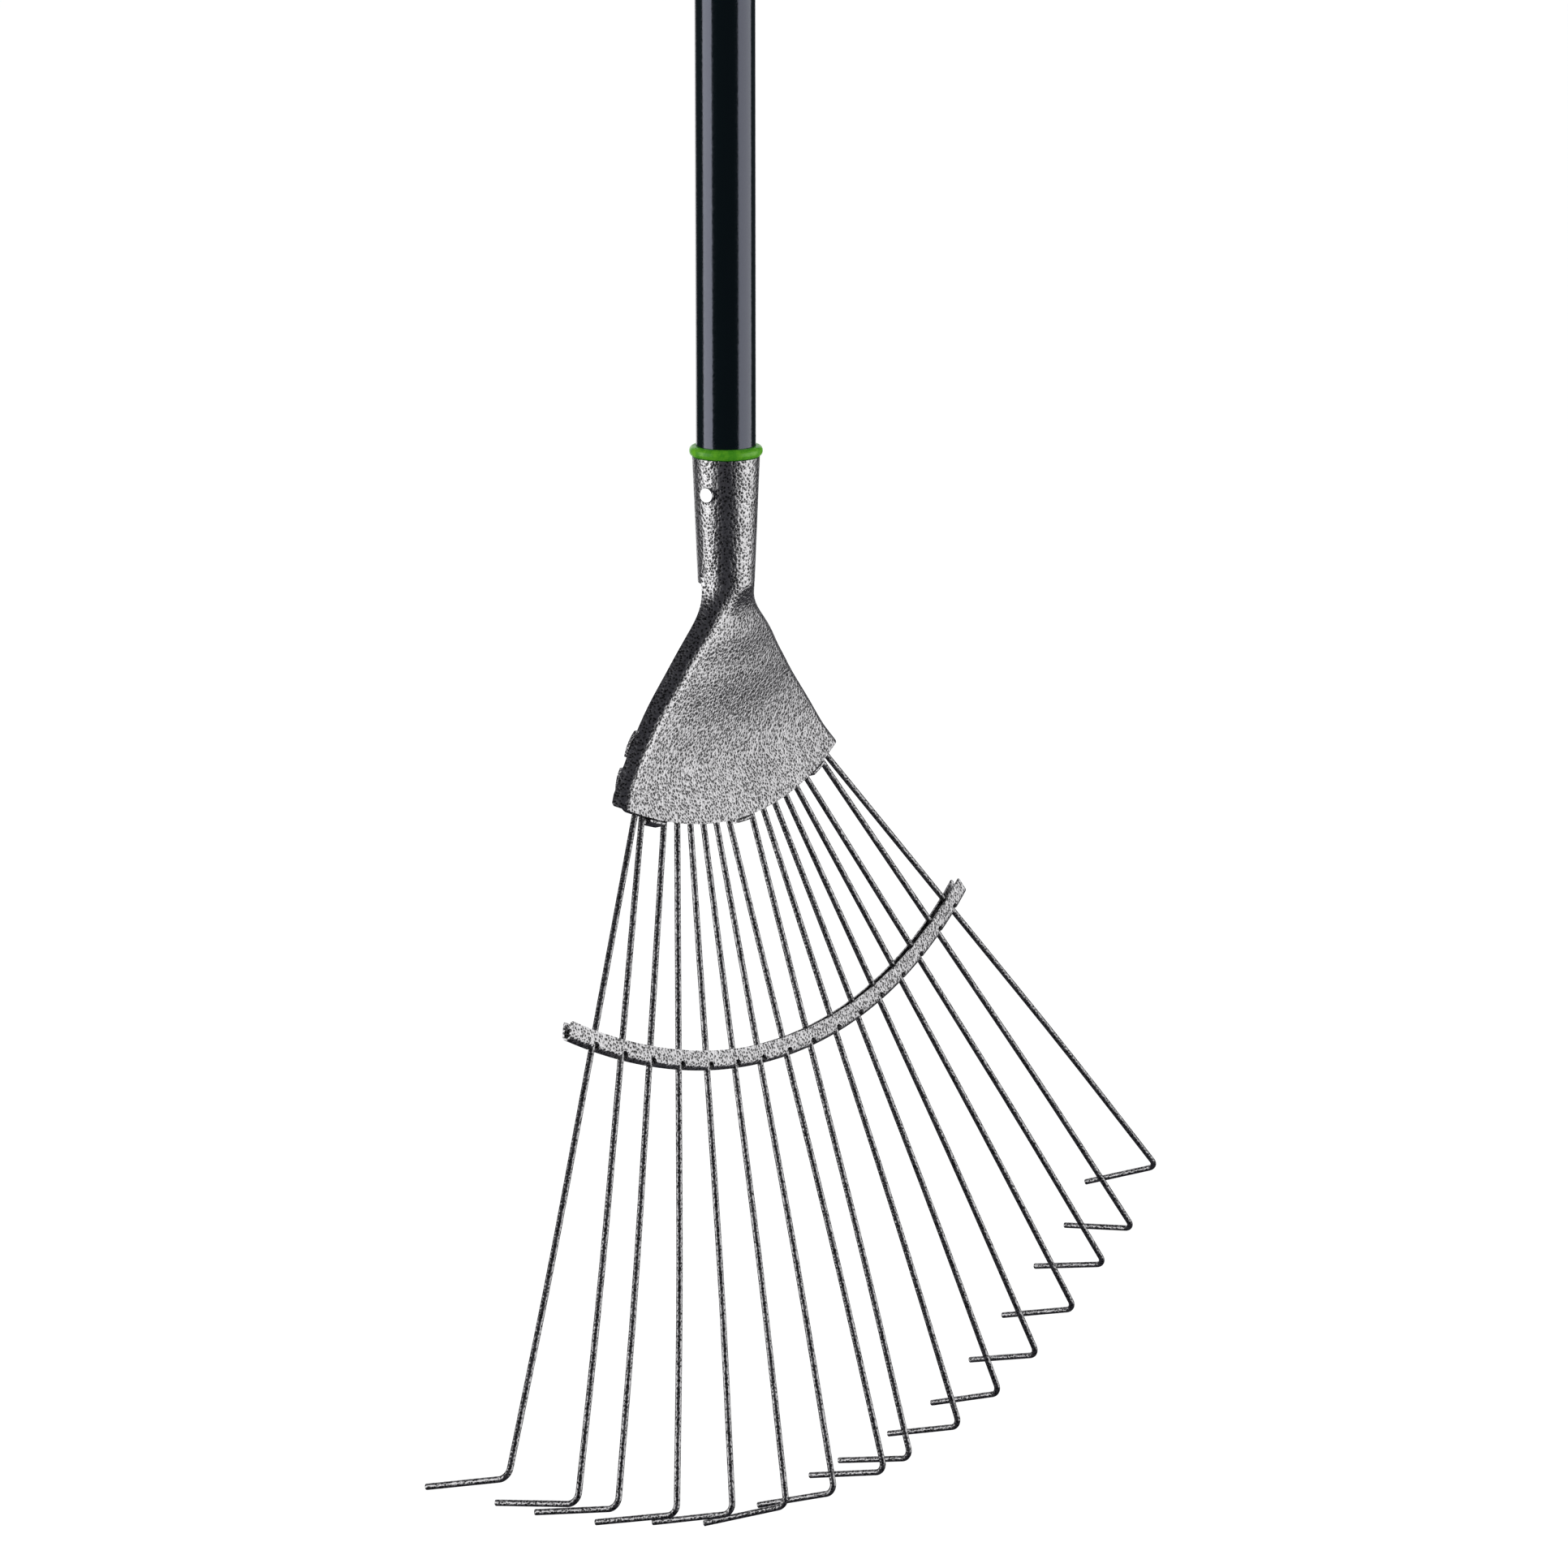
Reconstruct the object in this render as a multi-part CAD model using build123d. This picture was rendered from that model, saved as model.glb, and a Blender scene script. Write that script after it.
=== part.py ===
from build123d import *
import math
import os

# Leaf rake with a wire-tine fan head.
# Millimetres. The origin is the centre of the hang hole at the top of the handle.
# +Z runs up the handle, -Y is the smooth front of the head, and the tine tips point to +Y.

# --- driving dimensions -------------------------------------------------------

handle_diameter = 25.0
sleeve_thickness = 0.6
tube_wall = 1.2
handle_length = 1160.0        # from the socket's mouth to the top end of the tube
hang_hole_rise = 12.0         # hang hole above the top end of the tube
hang_hole_radius = 4.0
hang_tab_thickness = 10.0
hang_tab_drop = 9.0           # the tab's flats reach this far below the hole's centre
cap_length = 38.0
cap_wall = 1.6
cap_crown = 11.0              # top of the cap above the hole's centre
slide_room = 0.05             # room between parts that slide over each other

collar_diameter = 30.6
collar_height = 4.6
collar_round = 2.0
collar_seat = 0.2             # gap between the collar and the socket's mouth

sheet = 1.6                   # thickness of the pressed head
socket_mouth_radius = 14.1
socket_foot_radius = 11.9
socket_length = 53.0
swage_length = 44.0           # taper of the tube inside the socket
swage_room = 0.1              # room round the tube's lower end
seam_gap = 0.8                # open seam down the back of the rolled socket
rivet_drop = 14.5             # rivet below the socket's mouth
rivet_shank_radius = 2.2
rivet_head_radius = 3.2
rivet_head_height = 1.1
rivet_head_round = 0.4

wire_radius = 1.3
wire_gap = 0.1                # room between a wire and the metal beside it
fan_tilt = 17.0               # degrees between the tines' plane and the handle
fan_cross_drop = 131.0        # where that plane crosses the handle's axis, below the mouth
fan_centre_rise = 178.0       # centre that the tines fan out from, up the plane from that crossing
head_centre_rise = 154.0      # centre of the head's lower edge and beads, likewise

edge_radius = 177.5           # front edge of the head, from the head's centre
lower_bead_radius = 164.0
beads = ((147.6, 11.0, 0.9), (lower_bead_radius, 12.0, 1.0))   # radius, width and height
bead_inset = 0.9
back_top_radius = 141.0
back_bend_radius = 157.5      # above this the back plate leans in towards the front
back_lean = 0.3
back_sheet = 1.4
back_setback = 1.5            # back plate's edge above the head's front edge
back_side_gap = 2.0           # room between the back plate and the side flanges
bead_overhang = 0.2           # the beads run over the flanges, this far past their outer faces
bead_gap = 0.15               # room between the beads and the flanges' back edges
back_half_angle = 31.0        # wider than the fan, whose outline cuts it to width
bar_radius = 303.5            # closed fold of the crossbar
bar_height = 8.0
bar_sheet = 1.0
bar_half_angle = 29.3
bar_middle = -0.3             # the bar sits this many degrees off the fan's middle
notch_radius = 2.0            # arched notch in the fold where each tine comes out
notch_rise = 1.5              # centre of the arch above the bottom of the fold
root_radius = 202.0           # where the tines leave the head, from the fan's centre
bend_radius = 485.0           # corners of the hooked tips, from the fan's centre

hook_length = 39.5
hook_corner_radius = 4.5
sweep_back = 2.2              # how far a tine eases back before its hook
ease_length = 90.0
ease_radius = 3000.0
anchor_length = 2.2           # upturned inner end of a tine, in the lower bead
anchor_corner_radius = 1.9

# Half of the fan, from the middle outwards: six tines, a pinch, then two more.
# Each row holds the first angle, the pitch, the gap at the pinch and the outer pitch.
root_layout = (2.35, 2.58, 4.20, 1.40)
bend_layout = (1.25, 4.34, 3.24, 4.75)
inner_tines = 6

# Each tine as it was bent, left to right: how far its hook is out of line down the fan in mm,
# how far it strays sideways, how far the hook leans from square to the fan and how far it
# splays to the side, all in degrees.
tine_set = (
    (0.0, 0.1, -2, -5), (1.5, 0.4, -8, -7), (0.0, 0.1, -5, -7), (0.0, 0.2, -2, -5),
    (0.0, 0.2, -1, -4), (0.0, 0.2, 3, -9), (0.0, -0.1, 2, -2), (0.0, 0.0, -3, 1),
    (0.0, -0.1, -3, 4), (0.0, 0.3, 0, 3), (0.0, 0.1, 2, 5), (0.0, 0.0, -1, 7),
    (0.0, 0.2, -2, 2), (0.0, -0.1, -5, 6), (4.0, 0.2, -9, 10), (0.0, -0.1, 4, -4),
)

# Crimped tabs of the back plate, at the pinches: angles about the head's centre.
tab_angles = (-19.7, 0.0, 19.7)
tab_half_angle = 1.5
tab_drop = 1.8
tab_gap = 0.1                 # room between a tab and the head's front edge
tab_round = 0.8

# Sections of the head between the socket and its flat lower panel: drop below the mouth,
# half width, front at the corners, back edge, corner radius, fall of the crowned front and
# outward slant of the side flanges, both in degrees.
fan_sections = (
    (50.0, 11.5, -11.5, 5.0, 11.3, 1.0, 0.0),
    (57.0, 13.0, -10.3, 3.4, 10.8, 3.0, 2.0),
    (64.0, 17.6, -7.6, 2.2, 9.5, 4.5, 6.0),
    (72.0, 25.1, -6.6, 2.5, 8.5, 5.0, 10.0),
    (80.0, 32.7, -5.4, 3.4, 8.0, 5.0, 12.0),
    (90.0, 41.5, -4.0, 4.6, 7.5, 4.5, 14.0),
    (104.0, 54.8, -2.1, 5.2, 7.0, 3.5, 16.0),
    (112.0, 61.9, -1.9, 4.8, 6.5, 1.6, 17.0),
    (119.0, 67.5, -2.0, 4.4, 6.0, 0.7, 18.0),
    (125.0, 72.1, -2.2, 4.0, 5.5, 0.4, 18.0),
)
# Lower panel, top and bottom: drop, half width, corner radius and the rise of the side
# flanges' back edge behind the tines' plane.
fan_panel = ((130.0, 76.0, 5.0, 3.1), (162.0, 100.0, 4.0, 4.1))
panel_slant = 18.0
corner_round = 4.0
side_room = 2.0               # the outline of the cut stands this far outside the fan's sides
fan_top = 86.0                # the fan's sides are straight below this distance from the centre
cut_through = 200.0           # long enough for a cut to pass right through the head

# --- derived frame ------------------------------------------------------------

mouth = -(handle_length + hang_hole_rise)
tilt = math.radians(fan_tilt)
face_offset = wire_radius + wire_gap + sheet
tube_radius = handle_diameter / 2 - sleeve_thickness


def tine_plane(rise):
    """The tines' plane, with its origin this far up from where it crosses the handle's axis."""
    return Plane(
        origin=(0, rise * math.sin(tilt), mouth - fan_cross_drop + rise * math.cos(tilt)),
        x_dir=(1, 0, 0),
        z_dir=(0, math.cos(tilt), -math.sin(tilt)),
    )


fan_plane = tine_plane(fan_centre_rise)
head_plane = tine_plane(head_centre_rise)


def around(plane, radius, angle):
    """Point at a radius from a plane's origin, `angle` degrees from its middle line."""
    a = math.radians(angle)
    return plane.from_local_coords(Vector(radius * math.sin(a), radius * math.cos(a), 0))


def half_fan(layout):
    """Angles of one half of the fan's tines, from the middle outwards."""
    first, pitch, pinch, outer_pitch = layout
    angles = [first + pitch * i for i in range(inner_tines)]
    angles.append(angles[-1] + pinch)
    angles.append(angles[-1] + outer_pitch)
    return angles


def whole_fan(layout):
    """Angles of every tine, from -X to +X."""
    half = half_fan(layout)
    return [-angle for angle in reversed(half)] + half


def ring(outer, inner, bottom, top):
    """Plain tube about the handle's axis."""
    wall = Circle(outer) - Circle(inner)
    return Pos(0, 0, bottom) * extrude(wall, top - bottom)


def turned(*points):
    """Solid of revolution about the handle's axis from (radius, height) points."""
    outline = make_face(Plane.XZ * Polyline(*points, close=True))
    return revolve(outline, Axis.Z)


def swept_about(plane, profile, half_angle, middle=0.0):
    """Sweep a (radius, rise) face about a plane's origin, to both sides of `middle`."""
    outwards = around(plane, 1, middle - half_angle) - plane.origin
    start = Plane(origin=plane.origin, x_dir=outwards, z_dir=outwards.cross(plane.z_dir))
    return revolve(start * profile, Axis(plane.origin, plane.z_dir * -1), 2 * half_angle)


# --- handle -------------------------------------------------------------------


def socket_inner(drop):
    """Bore radius of the tapered socket at a drop below its mouth."""
    share = drop / socket_length
    outer = socket_mouth_radius + (socket_foot_radius - socket_mouth_radius) * share
    return outer - sheet


def rivet_hole():
    """Drilling for the rivet, across the socket and the tube."""
    drill = Cylinder(rivet_shank_radius + slide_room, cut_through)
    return Pos(0, 0, mouth - rivet_drop) * Rot(0, 90, 0) * drill


def make_handle_tube():
    """Steel tube, swaged down to a taper where it sits in the socket."""
    top = -hang_hole_rise
    foot_radius = socket_inner(swage_length) - swage_room
    tube = turned(
        (tube_radius, top),
        (tube_radius, mouth),
        (foot_radius, mouth - swage_length),
        (foot_radius - tube_wall, mouth - swage_length),
        (tube_radius - tube_wall, mouth),
        (tube_radius - tube_wall, top),
    )
    return tube - rivet_hole()


def make_handle_sleeve():
    """Plastic coating of the tube, from the collar to the end cap."""
    top = -hang_hole_rise
    return ring(handle_diameter / 2, tube_radius, mouth + collar_seat, top)


def make_end_cap():
    """Moulded cap over the top end, with the hang hole through its flattened top."""
    outer = handle_diameter / 2 + cap_wall
    bore = handle_diameter / 2 + slide_room
    skirt = -hang_hole_rise - cap_length
    shoulder = cap_crown - outer
    slope = outer * math.sqrt(0.5)
    outline = Polyline((0, cap_crown), (0, skirt), (outer, skirt), (outer, shoulder))
    outline += ThreePointArc((outer, shoulder), (slope, shoulder + slope), (0, cap_crown))
    cap = revolve(make_face(Plane.XZ * outline), Axis.Z)
    cap -= Pos(0, 0, skirt) * extrude(Circle(bore), cap_length)
    for side in (-1, 1):
        cheek = Box(3 * outer, outer, 4 * cap_crown)
        middle = side * (hang_tab_thickness / 2 + outer / 2)
        cap -= Pos(0, middle, 2 * cap_crown - hang_tab_drop) * cheek
    cap -= Rot(90, 0, 0) * Cylinder(hang_hole_radius, 4 * outer)
    return cap


def make_collar_ring():
    """Plastic trim ring between the coating and the socket's mouth."""
    bore = handle_diameter / 2 + slide_room
    blank = ring(collar_diameter / 2, bore, mouth + collar_seat, mouth + collar_height)
    rims = blank.edges().filter_by(GeomType.CIRCLE).sort_by(SortBy.RADIUS)[-2:]
    return fillet(rims, collar_round)


def make_socket_rivet():
    """Rivet across the socket and the tube, with a flat round head at each end."""
    seat = socket_inner(rivet_drop - rivet_head_radius) + sheet
    rivet = Cylinder(rivet_shank_radius, 2 * seat)
    for side in (0, 180):
        head = Pos(0, 0, seat + rivet_head_height / 2) * Cylinder(rivet_head_radius, rivet_head_height)
        head = fillet(head.edges().sort_by(Axis.Z)[-1], rivet_head_round)
        rivet += Rot(side, 0, 0) * head
    return Pos(0, 0, mouth - rivet_drop) * Rot(0, 90, 0) * rivet


# --- head ---------------------------------------------------------------------


def plane_y(drop):
    """Where the tines' plane lies at a drop below the socket's mouth."""
    return (fan_cross_drop - drop) * math.tan(tilt)


def channel_section(drop, half_width, front, back, corner, crown, slant, inset):
    """Closed outline of the head across the handle, `inset` inside its outer skin."""
    crown, slant = math.radians(crown), math.radians(slant)
    centre = Vector(half_width - corner, front + corner * math.cos(crown))
    radius = corner - inset

    def on_corner(angle):
        return centre + Vector(math.sin(angle), -math.cos(angle)) * radius

    top = on_corner(crown)
    side = on_corner(math.pi / 2 - slant)
    middle = on_corner((crown + math.pi / 2 - slant) / 2)
    heel = side + Vector(math.tan(slant), 1) * (back - side.Y)
    ridge = (0, top.Y - top.X * math.tan(crown / 2))

    def across(point):
        return Vector(-point.X, point.Y)

    outline = Line(side, heel) + Line(heel, across(heel)) + Line(across(heel), across(side))
    outline += ThreePointArc(across(side), across(middle), across(top))
    outline += ThreePointArc(across(top), ridge, top) if crown else Line(across(top), top)
    outline += ThreePointArc(top, middle, side)
    return Pos(0, 0, mouth - drop) * make_face(outline)


def panel_sections():
    """Sections at the top and below the bottom of the lower panel, which lies along the tines."""
    slant = math.cos(tilt)
    sections = []
    for drop, half_width, corner, rise in fan_panel:
        front = plane_y(drop) - face_offset / slant
        back = plane_y(drop) + rise / slant
        sections.append((drop, half_width, front, back, corner, 0.0, panel_slant))
    return sections


def channel_faces(inset, extra_back):
    """Faces down the fan, `inset` inside its outer skin and `extra_back` past its back edge."""
    faces = []
    for drop, half_width, front, back, *shape in (*fan_sections, *panel_sections()):
        faces.append(channel_section(drop, half_width, front, back + extra_back, *shape, inset))
    return faces


def fan_block(inset, extra_back):
    """Solid fan, `inset` inside the head's outer skin and `extra_back` past its back edge."""
    faces = channel_faces(inset, extra_back)
    return loft(faces[:-1]) + loft(faces[-2:], ruled=True)


def fan_half_width(along):
    """Half width of the fan at a distance down the plane from the head's centre."""
    upper, lower = fan_panel
    slope = (lower[1] - upper[1]) / (lower[0] - upper[0]) * math.cos(tilt)
    middle = head_centre_rise + (upper[0] - fan_cross_drop) / math.cos(tilt)
    return upper[1] + slope * (along - middle)


def fan_outline(radius, inset, corner):
    """Lower outline of the fan in its own plane: two sides, an arc and rounded corners."""
    bottom = 1.2 * radius
    wide = 0.75 * radius
    half_top = fan_half_width(fan_top) - inset
    half_bottom = fan_half_width(bottom) - inset
    sides = Polygon(
        (-wide, 0), (wide, 0), (wide, fan_top), (half_top, fan_top), (half_bottom, bottom),
        (-half_bottom, bottom), (-half_top, fan_top), (-wide, fan_top), align=None,
    )
    outline = sides & Circle(radius)
    corners = outline.vertices().filter_by_position(Axis.Y, back_top_radius, radius)
    return fillet(corners, corner)


def make_head_plate():
    """Rolled socket and pressed fan in one sheet, open behind."""
    foot = mouth - socket_length
    blank = turned((0, mouth), (socket_mouth_radius, mouth), (socket_foot_radius, foot), (0, foot))
    bore = turned((0, mouth), (socket_inner(0), mouth), (socket_inner(socket_length), foot), (0, foot))
    outer = channel_faces(0.0, 0.0)
    inner = channel_faces(sheet / math.cos(tilt), socket_length)
    neck = loft(outer[:-1]) - loft(inner[:-1])
    panel = loft(outer[-2:], ruled=True) - loft(inner[-2:], ruled=True)
    head = (blank - bore) + neck + panel
    outline = fan_outline(edge_radius - face_offset * math.tan(tilt), -side_room, corner_round)
    trim = extrude(head_plane * outline, cut_through, (0, 1, 0), both=True)
    seam = Pos(0, socket_foot_radius + sheet, foot) * Box(seam_gap, 4 * sheet, 2 * socket_length + 4 * sheet)
    return (head & trim) - [seam, rivet_hole()]


def back_rise(radius):
    """Inner face of the back plate: level at the tines, then leaning in above them."""
    return wire_radius + wire_gap - max(0.0, back_bend_radius - radius) * back_lean


def back_section():
    """Section of the back plate: a bent strip with two raised beads."""
    bottom = edge_radius - back_setback
    outer = Polyline((back_top_radius, back_rise(back_top_radius)),
                     (back_top_radius, back_rise(back_top_radius) + back_sheet))
    start = back_top_radius
    inner_arcs = []
    for bead, width, height in beads:
        low, high = bead - width / 2, bead + width / 2
        outer += Line((start, back_rise(start) + back_sheet), (low, back_rise(low) + back_sheet))
        outer += ThreePointArc(
            (low, back_rise(low) + back_sheet),
            (bead, back_rise(bead) + back_sheet + height),
            (high, back_rise(high) + back_sheet),
        )
        start = high
        low, high = low + bead_inset, high - bead_inset
        inner_arcs.append(
            ThreePointArc(
                (low, back_rise(low)), (bead, back_rise(bead) + height), (high, back_rise(high))
            )
        )
    level = wire_radius + wire_gap
    first, second = inner_arcs
    outer += Polyline((start, level + back_sheet), (bottom, level + back_sheet), (bottom, level), second @ 1)
    outer += second
    outer += Polyline(second @ 0, (back_bend_radius, level), first @ 1)
    outer += first
    outer += Line(first @ 0, (back_top_radius, back_rise(back_top_radius)))
    return make_face(outer)


def make_back_plate():
    """Beaded clamp plate behind the tines, with tabs crimped under the head's edge."""
    plate = swept_about(head_plane, back_section(), back_half_angle)
    outline = fan_outline(edge_radius - back_setback, sheet + back_side_gap, corner_round)
    wide = fan_outline(edge_radius, -bead_overhang, corner_round)
    for bead, width, _ in beads:
        outline += wide & (Circle(bead + width / 2) - Circle(bead - width / 2))
    plate &= head_plane * extrude(outline, cut_through, both=True)
    plate -= fan_block(-bead_gap, bead_gap) - fan_block(sheet + back_side_gap, socket_length)
    outer_rise = wire_radius + wire_gap + back_sheet
    tab_low = edge_radius + tab_gap + tab_drop
    reach = 2 * back_setback + tab_drop
    tab = Pos(tab_low - tab_drop / 2, (outer_rise - face_offset) / 2) * RectangleRounded(
        tab_drop, outer_rise + face_offset, tab_round
    )
    tab += Pos(tab_low - tab_round - reach / 2, outer_rise - back_sheet / 2) * Rectangle(reach, back_sheet)
    for angle in tab_angles:
        plate += swept_about(head_plane, tab, tab_half_angle, angle)
    return plate


def bar_section():
    """Section of the crossbar: a strip folded into a channel, closed towards the tips."""
    inner = wire_radius + wire_gap
    outer = inner + bar_sheet
    open_end = bar_radius - bar_height
    fold = bar_radius - outer
    outline = Line((open_end, -outer), (fold, -outer))
    outline += ThreePointArc((fold, -outer), (bar_radius, 0), (fold, outer))
    outline += Polyline((fold, outer), (open_end, outer), (open_end, inner), (fold, inner))
    outline += ThreePointArc((fold, inner), (bar_radius - bar_sheet, 0), (fold, -inner))
    outline += Polyline((fold, -inner), (open_end, -inner), (open_end, -outer))
    return make_face(outline)


def make_crossbar():
    """Folded channel across the tines, with a notch in the fold for each one."""
    bar = swept_about(fan_plane, bar_section(), bar_half_angle, bar_middle)
    arch = Circle(notch_radius) + Pos(notch_radius, 0) * Rectangle(2 * notch_radius, 2 * notch_radius)
    notches = []
    for index in range(len(bend_angles)):
        centre = tine_point(index, bar_radius - notch_rise, fan_plane)
        cut = Plane(origin=centre, x_dir=tine_direction(index), z_dir=fan_plane.z_dir)
        notches.append(cut * extrude(arch, bar_height, both=True))
    return bar - notches


# --- tines --------------------------------------------------------------------

root_angles = whole_fan(root_layout)
bend_angles = [angle + stray for angle, (_, stray, _, _) in zip(whole_fan(bend_layout), tine_set)]


def tine_direction(index):
    """Direction of a tine, from the head to its hook."""
    start = around(fan_plane, root_radius, root_angles[index])
    end = around(fan_plane, bend_radius, bend_angles[index])
    return (end - start).normalized()


def tine_point(index, radius, plane):
    """Point of a tine's straight line at a radius from a plane's origin."""
    start = around(fan_plane, root_radius, root_angles[index])
    direction = tine_direction(index)
    out = start - plane.origin
    shift = out.dot(direction)
    length = math.sqrt(shift**2 - out.dot(out) + radius**2) - shift
    return start + direction * length


def make_tine(index):
    """Round wire: an upturned inner end, a long straight, a gentle ease and a hook."""
    behind = fan_plane.z_dir
    direction = tine_direction(index)
    anchor = tine_point(index, lower_bead_radius, head_plane)
    reach, _, *twist = tine_set[index]
    corner = tine_point(index, bend_radius + reach, fan_plane)
    ease = corner - direction * ease_length
    corner += behind * sweep_back
    lean, splay = (math.radians(angle) for angle in twist)
    outwards = behind * math.cos(splay) + fan_plane.x_dir * math.sin(splay)
    tip = corner + (outwards * math.cos(lean) + direction * math.sin(lean)) * hook_length
    path = FilletPolyline(
        anchor + behind * anchor_length, anchor, ease, corner, tip,
        radius=(anchor_corner_radius, ease_radius, hook_corner_radius),
    )
    start = Plane(origin=path @ 0, z_dir=path % 0)
    return sweep(start * Circle(wire_radius), path)


# --- files --------------------------------------------------------------------


def main():
    os.makedirs("parts", exist_ok=True)
    parts = {
        "handle_tube": make_handle_tube(),
        "handle_sleeve": make_handle_sleeve(),
        "end_cap": make_end_cap(),
        "collar_ring": make_collar_ring(),
        "socket_rivet": make_socket_rivet(),
        "head_plate": make_head_plate(),
        "back_plate": make_back_plate(),
        "crossbar": make_crossbar(),
    }
    for index in range(len(bend_angles)):
        parts[f"tine_{index + 1:02d}"] = make_tine(index)
    for name, shape in parts.items():
        export_step(shape, f"parts/{name}.step")


main()
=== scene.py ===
import math

import bpy
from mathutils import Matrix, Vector


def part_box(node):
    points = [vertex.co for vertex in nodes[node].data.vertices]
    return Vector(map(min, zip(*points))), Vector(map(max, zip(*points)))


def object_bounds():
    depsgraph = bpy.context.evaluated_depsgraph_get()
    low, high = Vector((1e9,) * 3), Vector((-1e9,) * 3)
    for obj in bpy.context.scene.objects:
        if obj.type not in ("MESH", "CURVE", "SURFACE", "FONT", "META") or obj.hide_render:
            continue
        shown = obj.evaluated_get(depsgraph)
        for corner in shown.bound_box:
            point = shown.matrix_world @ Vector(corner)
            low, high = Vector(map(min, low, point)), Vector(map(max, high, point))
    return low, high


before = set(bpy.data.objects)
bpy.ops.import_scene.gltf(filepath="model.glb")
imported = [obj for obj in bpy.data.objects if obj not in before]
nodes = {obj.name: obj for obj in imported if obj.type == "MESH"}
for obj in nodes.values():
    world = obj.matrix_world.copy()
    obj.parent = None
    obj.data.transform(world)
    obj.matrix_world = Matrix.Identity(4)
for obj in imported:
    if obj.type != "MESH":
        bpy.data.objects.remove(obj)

# Leaf rake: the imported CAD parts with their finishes, a pale floor and soft studio light.
# Metres, in the part's own frame: +Z up the handle, the fan leaning to -Y, the hooks towards +Y.

MM = 0.001
cad_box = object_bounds()
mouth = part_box("head_plate")[1].z           # top of the socket
lowest = cad_box[0].z
tines = [name for name in sorted(nodes) if name.startswith("tine_")]

# --- view, light and floor ----------------------------------------------------

VIEW_AZIMUTH = math.radians(-56.0)
VIEW_ELEVATION = math.radians(13.2)
VIEW_DISTANCE = 2.3896
VIEW_SLIDE = 0.0241                         # view centre to the right of the handle's axis
VIEW_DROP = 0.140                           # view centre below the socket's mouth
LENS = 130.27

WHITE = (1.0, 1.0, 1.0, 1.0)
STUDIO_DARK = (0.042, 0.042, 0.052, 1.0)    # unlit studio, as the part reflects it

# Softboxes: name, turn from the camera to the picture's right in degrees, width, radiance.
SOFTBOXES = (
    ("softbox_left", -73.0, 1.55, 2.7),
    ("softbox_right", 83.0, 2.5, 1.9),
    ("softbox_back", 188.0, 1.8, 1.1),
)
SOFTBOX_DISTANCE = 2.0
SOFTBOX_HEIGHT = 1.95
SOFTBOX_DROP = 0.99                         # bottom edge of a softbox below the socket's mouth

FLOOR_DROP = 0.06                           # the rake hangs this far above the floor
FLOOR_SIZE = 40.0
FLOOR_GREY = (0.25, 0.25, 0.25, 1.0)
FLOOR_GLOW = 1.0

# --- values of the finishes ---------------------------------------------------

PLATE_CELL = 1.12 * MM                      # size of the hammered paint's cells on the plates
WIRE_CELL = 1.05 * MM
WIRE_SHADE = 0.7                            # brightness of the wires' paint beside the plates'
CELL_WARP = 0.0006                          # share of noise mixed in, to bend the cells' outlines
CELL_RELIEF = 0.26 * MM
HOLLOW_GREYS = (0.028, 0.042)
SILVER_GREYS = (0.49, 0.55)
COATING_COLOURS = ((0.0010, 0.0085, 0.0082, 1.0), (0.0018, 0.0110, 0.0108, 1.0))
COATING_TINT = (0.78, 0.81, 1.0, 1.0)       # slightly blue gloss
LIME_COLOURS = ((0.12, 0.42, 0.016, 1.0), (0.26, 0.68, 0.035, 1.0))
# Painted glow of the lime ring: emission colour that stands in for light on and through the plastic.
PAINTED_LIME_GLOW = (0.10, 1.0, 0.05, 1.0)
CAP_COLOURS = ((0.008, 0.011, 0.011, 1.0), (0.014, 0.018, 0.018, 1.0))
RIVET_COLOURS = ((0.86, 0.86, 0.86, 1.0), (0.96, 0.96, 0.95, 1.0))
STEEL_COLOURS = ((0.36, 0.37, 0.38, 1.0), (0.52, 0.53, 0.54, 1.0))

# A Mix node's sockets for each type of data: its two inputs and its output.
MIX_SOCKETS = {"VECTOR": (4, 5, 1), "RGBA": (6, 7, 2)}

# --- camera, light and world --------------------------------------------------


def compass(turn):
    """Level direction from the part: the camera's, turned towards the picture's right."""
    angle = VIEW_AZIMUTH + turn
    return Vector((math.sin(angle), -math.cos(angle), 0.0))


def aim(thing, direction):
    """Turn a camera or a light to face along a direction."""
    thing.rotation_mode = "QUATERNION"
    thing.rotation_quaternion = direction.to_track_quat("-Z", "Y")


def make_camera():
    """Camera at the wanted azimuth and elevation, aimed beside the head."""
    side = compass(math.pi / 2)
    back = compass(0.0) * math.cos(VIEW_ELEVATION) + Vector((0, 0, math.sin(VIEW_ELEVATION)))
    centre = side * VIEW_SLIDE + Vector((0, 0, mouth - VIEW_DROP))
    data = bpy.data.cameras.new("camera")
    data.lens = LENS
    data.clip_end = 2 * FLOOR_SIZE
    camera = bpy.data.objects.new("camera", data)
    camera.location = centre + back * VIEW_DISTANCE
    aim(camera, -back)
    bpy.context.scene.collection.objects.link(camera)
    bpy.context.scene.camera = camera


def make_softbox(name, turn, width, radiance):
    """Rectangular area light that faces the part and is hidden from the camera."""
    data = bpy.data.lights.new(name, "AREA")
    data.shape = "RECTANGLE"
    data.size = width
    data.size_y = SOFTBOX_HEIGHT
    data.energy = math.pi * width * SOFTBOX_HEIGHT * radiance
    light = bpy.data.objects.new(name, data)
    away = compass(math.radians(turn))
    middle = mouth - SOFTBOX_DROP + SOFTBOX_HEIGHT / 2
    light.location = away * SOFTBOX_DISTANCE + Vector((0, 0, middle))
    aim(light, -away)
    light.visible_camera = False
    bpy.context.scene.collection.objects.link(light)


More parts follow.
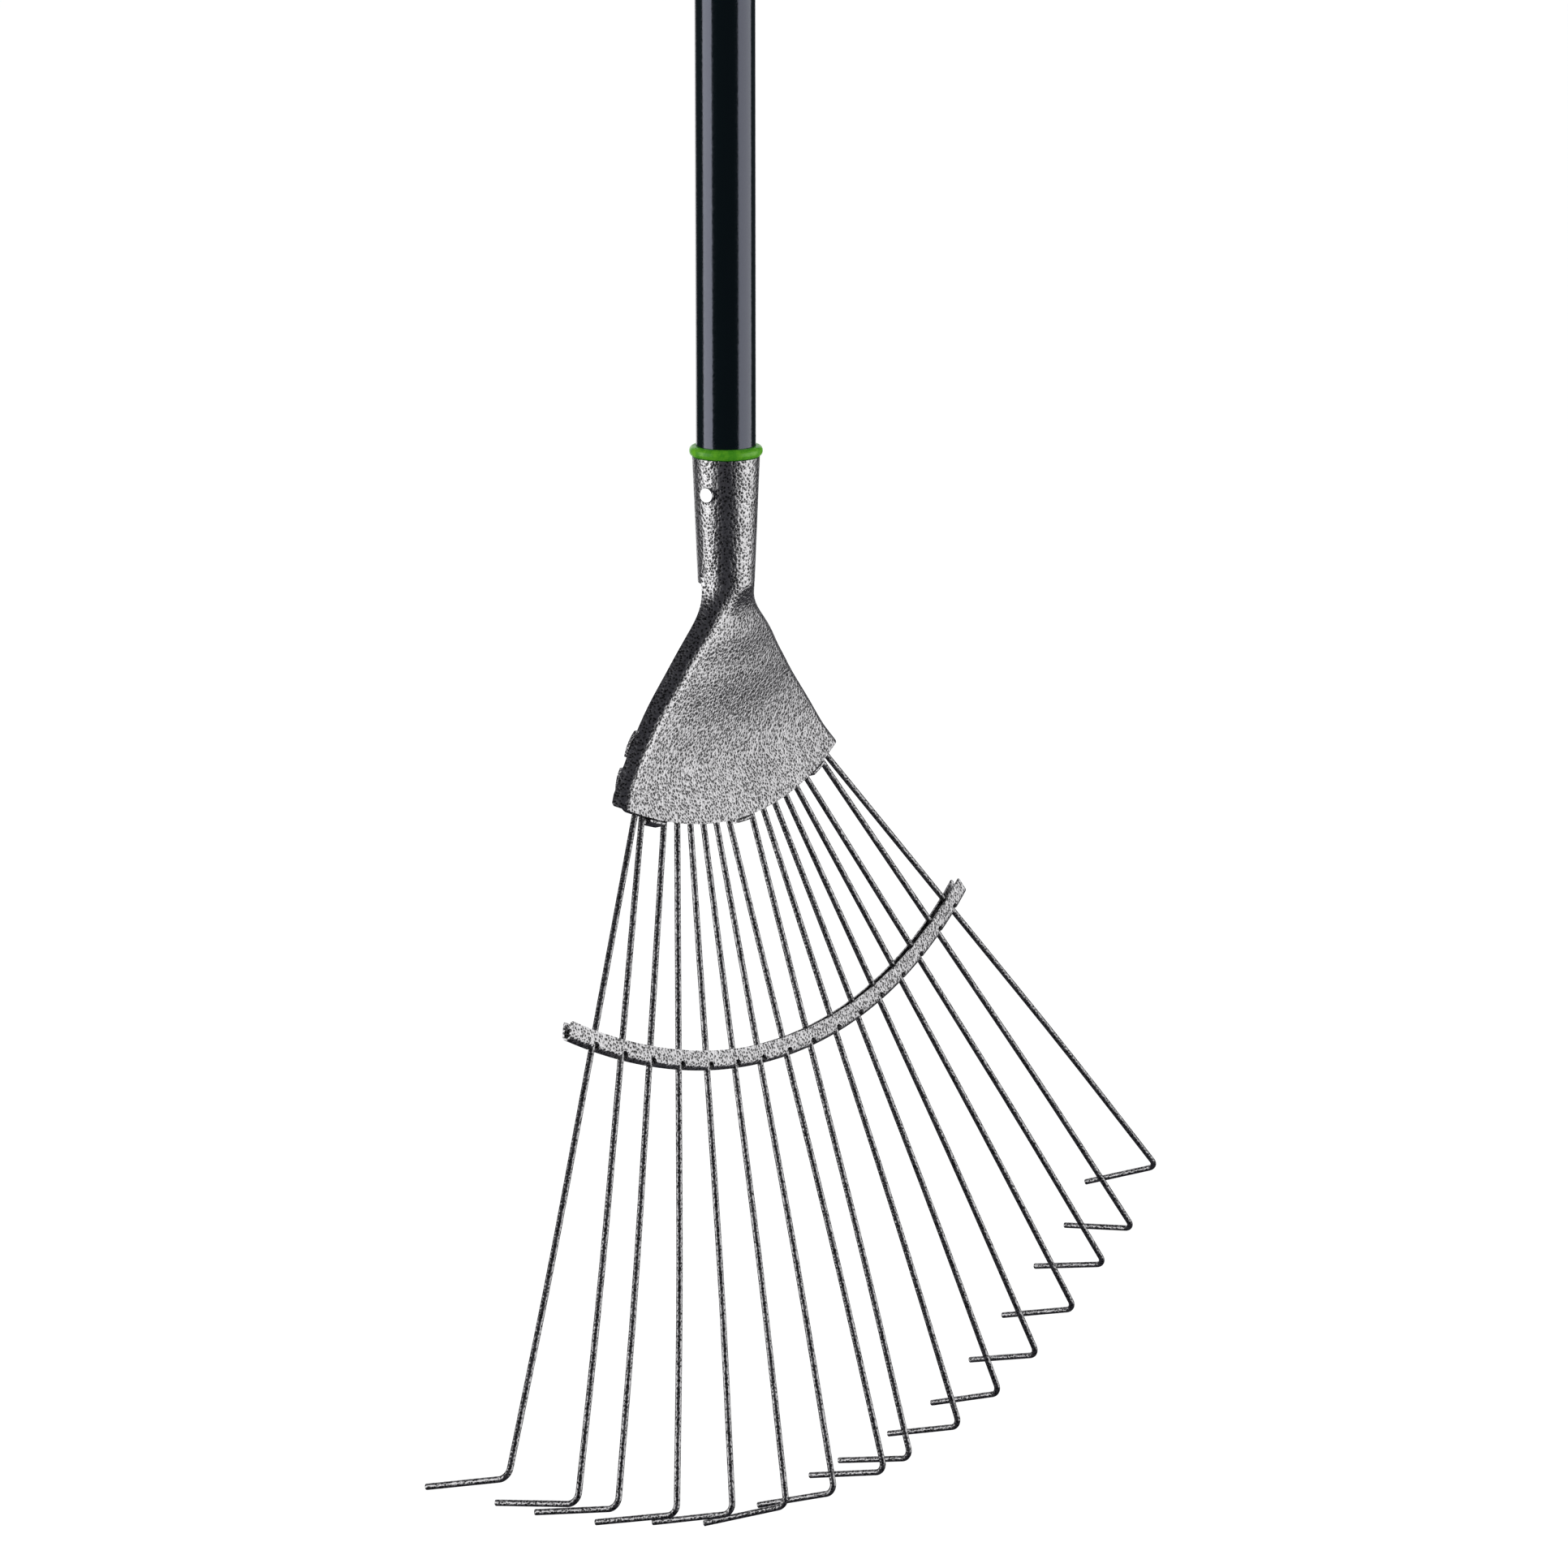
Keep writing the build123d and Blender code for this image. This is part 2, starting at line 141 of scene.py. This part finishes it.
def make_world():
    """White backdrop for the camera, and a dim studio for everything that reflects it."""
    world = bpy.data.worlds.new("studio")
    world.use_nodes = True
    tree = world.node_tree
    tree.nodes.clear()
    path = tree.nodes.new("ShaderNodeLightPath")
    mix = tree.nodes.new("ShaderNodeMixShader")
    output = tree.nodes.new("ShaderNodeOutputWorld")
    tree.links.new(path.outputs["Is Camera Ray"], mix.inputs[0])
    for index, colour in ((1, STUDIO_DARK), (2, WHITE)):
        glow = tree.nodes.new("ShaderNodeBackground")
        glow.inputs["Color"].default_value = colour
        tree.links.new(glow.outputs[0], mix.inputs[index])
    tree.links.new(mix.outputs[0], output.inputs["Surface"])
    bpy.context.scene.world = world


# --- materials ----------------------------------------------------------------


class Finish:
    """A material with one Principled shader, built node by node."""

    def __init__(self, name):
        self.material = bpy.data.materials.new(name)
        self.material.use_nodes = True
        self.tree = self.material.node_tree
        self.shader = self.tree.nodes["Principled BSDF"]
        self.place = self.tree.nodes.new("ShaderNodeTexCoord").outputs["Object"]

    def put(self, socket, value):
        """Set an input, or link it when the value is another node's output."""
        if isinstance(value, bpy.types.NodeSocket):
            self.tree.links.new(value, socket)
        else:
            socket.default_value = value

    def add(self, kind, settings=None, **inputs):
        """New node; inputs are named by their labels with _ for a space."""
        node = self.tree.nodes.new("ShaderNode" + kind)
        for key, value in (settings or {}).items():
            setattr(node, key, value)
        for key, value in inputs.items():
            self.put(node.inputs[key.replace("_", " ")], value)
        return node

    def set(self, **inputs):
        """Inputs of the Principled shader."""
        for key, value in inputs.items():
            self.put(self.shader.inputs[key.replace("_", " ")], value)

    def noise(self, size, detail=2.0, roughness=0.5, place=None, output="Fac"):
        """Noise with lumps about `size` metres across."""
        return self.add(
            "TexNoise",
            Vector=place or self.place,
            Scale=1 / size,
            Detail=detail,
            Roughness=roughness,
        ).outputs[output]

    def cells(self, size, place):
        """Distance from the middles of rounded cells about `size` metres across."""
        return self.add(
            "TexVoronoi",
            {"feature": "SMOOTH_F1"},
            Vector=place,
            Scale=1 / size,
            Smoothness=0.35,
            Randomness=1.0,
        ).outputs["Distance"]

    def ramp(self, value, low, high, start=0.0, end=1.0):
        """Smooth step of a value from `start` at low to `end` at high."""
        node = self.add("MapRange", {"interpolation_type": "SMOOTHSTEP"}, Value=value)
        limits = {"From Min": low, "From Max": high, "To Min": start, "To Max": end}
        for key, number in limits.items():
            self.put(node.inputs[key], number)
        return node.outputs["Result"]

    def mix(self, share, first, second, kind="RGBA"):
        """Mix of two colours, or of two vectors."""
        input_a, input_b, result = MIX_SOCKETS[kind]
        node = self.add("Mix", {"data_type": kind})
        self.put(node.inputs[0], share)
        self.put(node.inputs[input_a], first)
        self.put(node.inputs[input_b], second)
        return node.outputs[result]

    def bump(self, height, distance, strength, below=None):
        """Bump of a height field, on top of another bump if there is one."""
        node = self.add("Bump", Height=height, Distance=distance, Strength=strength)
        if below is not None:
            self.put(node.inputs["Normal"], below)
        return node.outputs["Normal"]


def grey(value):
    """Nearly neutral colour, a touch less green, as the paint is."""
    return (value, value * 0.99, value, 1.0)


def hammered_paint(name, cell, shade=1.0):
    """Hammered finish: small raised silver cells with darker hollows between them."""
    finish = Finish(name)
    warp = finish.noise(cell, detail=1.0, output="Color")
    cells = finish.cells(cell, finish.mix(CELL_WARP, finish.place, warp, "VECTOR"))
    silver = finish.ramp(cells, 0.20, 0.62)
    patches = finish.ramp(finish.noise(9 * MM), 0.3, 0.7)
    dark = finish.mix(patches, *(grey(value * shade) for value in HOLLOW_GREYS))
    light = finish.mix(patches, *(grey(value * shade) for value in SILVER_GREYS))
    finish.set(
        Base_Color=finish.mix(silver, dark, light),
        Metallic=0.96,
        Roughness=finish.ramp(silver, 0.0, 1.0, 0.42, 0.34),
        Normal=finish.bump(cells, CELL_RELIEF, 0.8),
    )
    return finish.material


def handle_coating():
    """Glossy green-black plastic coating with a faint orange peel."""
    finish = Finish("handle_coating")
    peel = finish.noise(2.2 * MM)
    grain = finish.noise(0.7 * MM, detail=1.0)
    fine = finish.bump(grain, 0.02 * MM, 0.3)
    finish.set(
        Base_Color=finish.mix(finish.noise(30 * MM), *COATING_COLOURS),
        Roughness=finish.ramp(grain, 0.3, 0.7, 0.10, 0.20),
        IOR=1.76,
        Specular_Tint=COATING_TINT,
        Normal=finish.bump(peel, 0.05 * MM, 0.35, fine),
    )
    return finish.material


def green_plastic():
    """Lime moulded ring with a slightly uneven surface and a faint painted glow, which stands in for
    light falling on and passing through the ring.
    """
    finish = Finish("green_plastic")
    blotch = finish.noise(3.0 * MM, detail=3.0, roughness=0.6)
    finish.set(
        Base_Color=finish.mix(finish.ramp(blotch, 0.35, 0.65), *LIME_COLOURS),
        Roughness=finish.ramp(blotch, 0.3, 0.7, 0.42, 0.28),
        Specular_IOR_Level=0.3,
        # Painted light: a faint emission makes the ring glow, standing in for its lit ends and light
        # through the plastic.
        Emission_Color=PAINTED_LIME_GLOW,
        Emission_Strength=0.085,
        Normal=finish.bump(blotch, 0.15 * MM, 0.4),
    )
    return finish.material


def cap_plastic():
    """Satin black moulded plastic with a fine spark-eroded grain."""
    finish = Finish("cap_plastic")
    grain = finish.noise(0.5 * MM, detail=3.0, roughness=0.6)
    finish.set(
        Base_Color=finish.mix(finish.noise(12 * MM), *CAP_COLOURS),
        Roughness=finish.ramp(grain, 0.3, 0.7, 0.38, 0.56),
        Normal=finish.bump(grain, 0.06 * MM, 0.5),
    )
    return finish.material


def rivet_metal():
    """Bright aluminium rivet head."""
    finish = Finish("rivet_metal")
    marks = finish.noise(1.1 * MM, detail=3.0)
    finish.set(
        Base_Color=finish.mix(marks, *RIVET_COLOURS),
        Metallic=1.0,
        Roughness=finish.ramp(marks, 0.3, 0.7, 0.24, 0.36),
        Normal=finish.bump(marks, 0.03 * MM, 0.4),
    )
    return finish.material


def bare_steel():
    """Drawn steel tube, with fine lines along its length."""
    finish = Finish("bare_steel")
    streaks = finish.add("Mapping", Vector=finish.place, Scale=(1.0, 1.0, 0.02))
    lines = finish.noise(0.6 * MM, detail=3.0, place=streaks.outputs["Vector"])
    finish.set(
        Base_Color=finish.mix(lines, *STEEL_COLOURS),
        Metallic=1.0,
        Roughness=finish.ramp(lines, 0.3, 0.7, 0.28, 0.45),
        Normal=finish.bump(lines, 0.02 * MM, 0.4),
    )
    return finish.material


def floor_finish():
    """Plain white floor, mostly self-lit so that it stays even to the horizon."""
    finish = Finish("floor")
    finish.set(
        Base_Color=FLOOR_GREY,
        Roughness=0.9,
        Specular_IOR_Level=0.0,
        Emission_Color=WHITE,
        Emission_Strength=FLOOR_GLOW,
    )
    return finish.material


# --- floor, painted parts and sizes -------------------------------------------


def make_floor():
    """Level floor under the hanging rake, which is not lit by it and does not reflect it."""
    half = FLOOR_SIZE / 2
    level = lowest - FLOOR_DROP
    corners = [(-half, -half, level), (half, -half, level), (half, half, level), (-half, half, level)]
    mesh = bpy.data.meshes.new("floor")
    mesh.from_pydata(corners, [], [(0, 1, 2, 3)])
    mesh.materials.append(floor_finish())
    floor = bpy.data.objects.new("floor", mesh)
    floor.visible_glossy = False
    floor.visible_diffuse = False
    bpy.context.scene.collection.objects.link(floor)


def paint(names, material):
    """Give CAD nodes their finish."""
    for name in names:
        slots = nodes[name].data.materials
        if not slots:
            slots.append(material)
        for index in range(len(slots)):
            slots[index] = material


bpy.context.scene.view_settings.view_transform = "Standard"
make_world()
make_camera()
for box in SOFTBOXES:
    make_softbox(*box)
make_floor()

paint(("head_plate", "back_plate", "crossbar"), hammered_paint("hammered_paint", PLATE_CELL))
paint(tines, hammered_paint("hammered_wire", WIRE_CELL, WIRE_SHADE))
paint(("handle_sleeve",), handle_coating())
paint(("handle_tube",), bare_steel())
paint(("end_cap",), cap_plastic())
paint(("collar_ring",), green_plastic())
paint(("socket_rivet",), rivet_metal())
